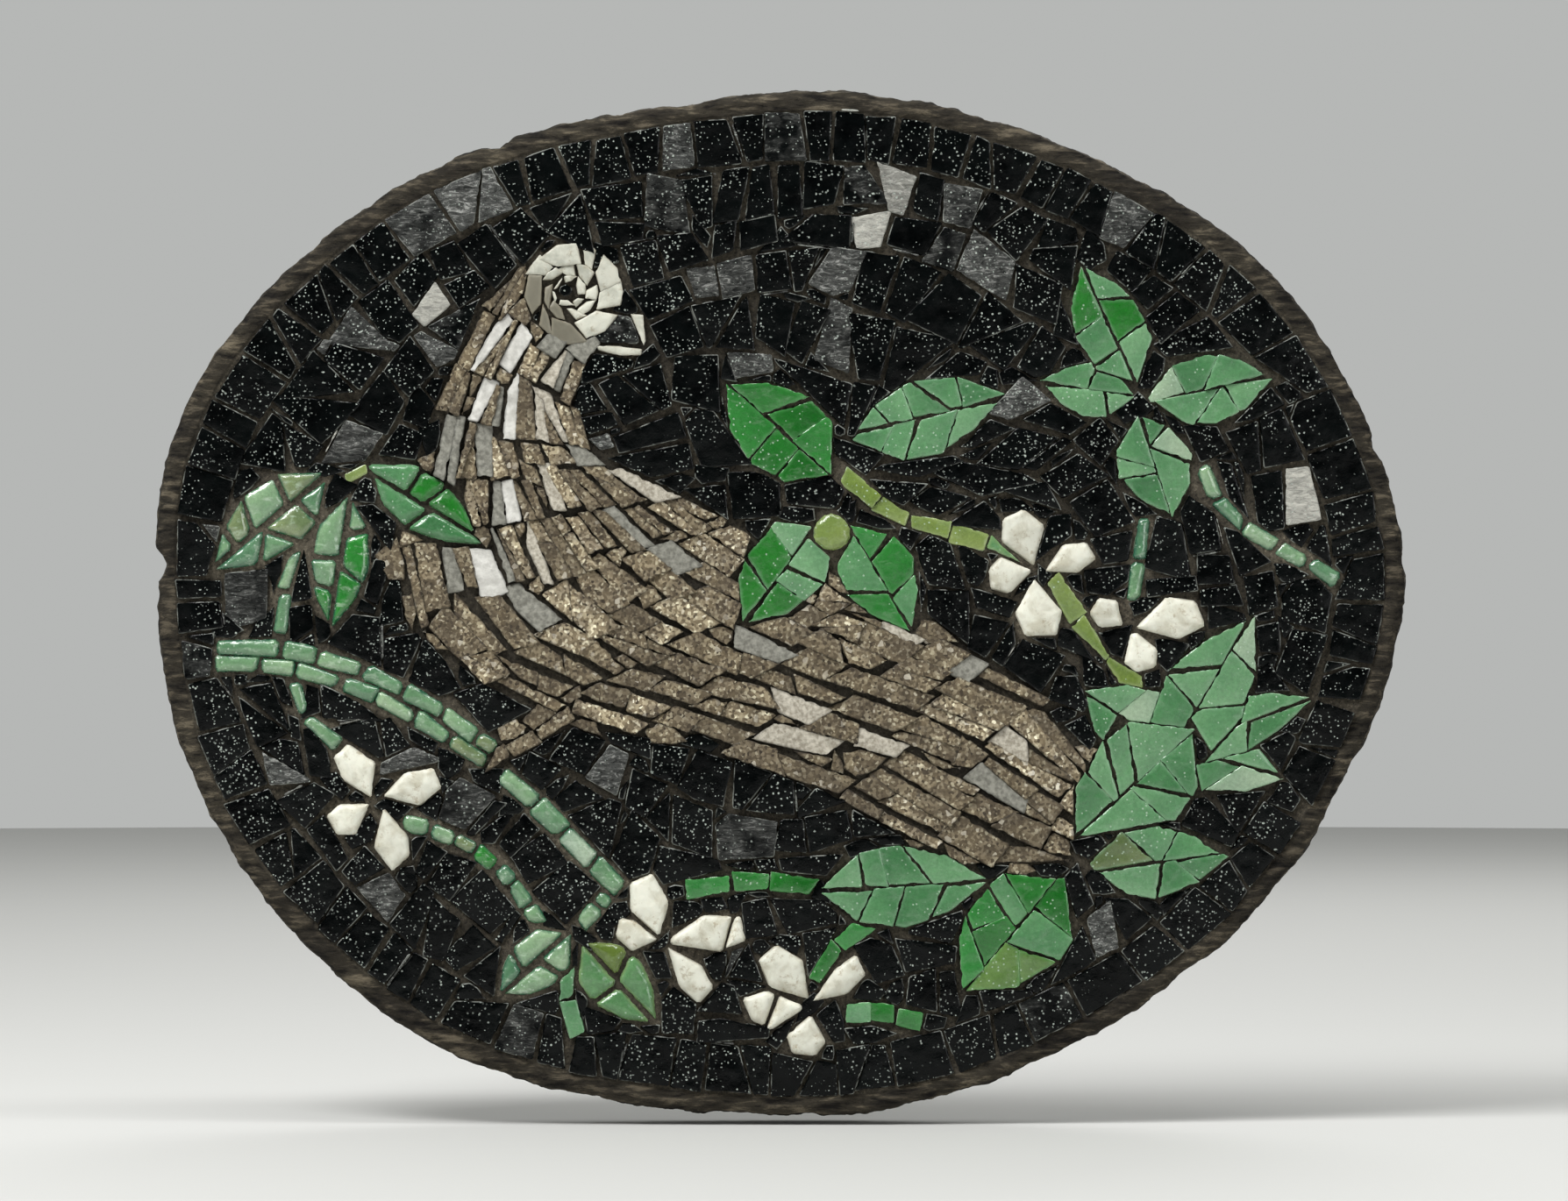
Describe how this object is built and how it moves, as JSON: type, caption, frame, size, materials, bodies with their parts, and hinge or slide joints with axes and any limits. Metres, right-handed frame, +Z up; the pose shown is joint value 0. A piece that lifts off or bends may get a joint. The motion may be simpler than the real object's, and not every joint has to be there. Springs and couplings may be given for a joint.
{
  "type": "mosaic panel",
  "caption": "Oval wall panel of glass and stone mosaic set in mortar: a bird on a leafy, flowering branch against black.",
  "frame": {"origin": "centre of the flat back face, where the panel meets the wall", "axes": "+X to the right seen from the front, +Z up, the picture faces -Y and the back faces the wall along +Y"},
  "size_m": [0.3991, 0.0266, 0.3277],
  "materials": {
    "mortar": "rough grey-brown cement mortar, matt and grainy",
    "black_glass": "opaque near-black glass smalti with pale specks, glossy cut faces",
    "brown_stone": "granular brown stone chips with pale glints, matt",
    "head_marble": "white marble chips, satin",
    "beak_stone": "dark stone chip, matt",
    "petal_marble": "ivory marble with faint brown stains, satin",
    "mint_glass": "opaque mint green glass with small bubbles, glossy",
    "deep_green_glass": "opaque deep green glass with small bubbles, glossy",
    "blue_green_glass": "opaque blue-green glass with small bubbles, glossy",
    "olive_glass": "opaque olive green glass, glossy"
  },
  "bodies": {
    "root": {"mortar_slab": "mortar", "black_ground": "black_glass", "beak_lower": "head_marble", "beak_upper": "beak_stone", "bird_body": "brown_stone", "bird_eye": "black_glass", "bird_foot": "brown_stone", "bird_head": "head_marble", "branch_left": "blue_green_glass", "branch_lower": "blue_green_glass", "branch_lower_right": "deep_green_glass", "bud": "olive_glass", "flower_bottom": "petal_marble", "flower_far_right": "petal_marble", "flower_left": "petal_marble", "flower_lower_left": "petal_marble", "flower_right": "petal_marble", "leaf_bottom_left": "blue_green_glass", "leaf_bottom_olive": "olive_glass", "leaf_bottom_right": "deep_green_glass", "leaf_far_left": "blue_green_glass", "leaf_hanging_left": "blue_green_glass", "leaf_lower_right": "mint_glass", "leaf_middle_left": "mint_glass", "leaf_middle_right": "deep_green_glass", "leaf_over_neck": "mint_glass", "leaf_top_middle": "deep_green_glass", "leaf_top_right_across": "mint_glass", "leaf_top_right_down": "mint_glass", "leaf_top_right_left": "mint_glass", "leaf_top_right_middle": "mint_glass", "leaf_top_right_up": "mint_glass", "leaf_under_tail": "mint_glass", "leaf_vine": "mint_glass", "stem_far_right": "blue_green_glass", "stem_flower_bottom": "deep_green_glass", "stem_flower_left": "blue_green_glass", "stem_olive": "olive_glass", "stem_olive_lower": "olive_glass", "twig_bottom_left": "mint_glass", "twig_branch_leaf": "blue_green_glass", "twig_flower_bottom": "deep_green_glass", "twig_flower_right": "blue_green_glass", "twig_hanging_leaf": "blue_green_glass", "twig_left_top": "olive_glass", "twig_to_flower_left": "blue_green_glass"}
  },
  "joints": []
}
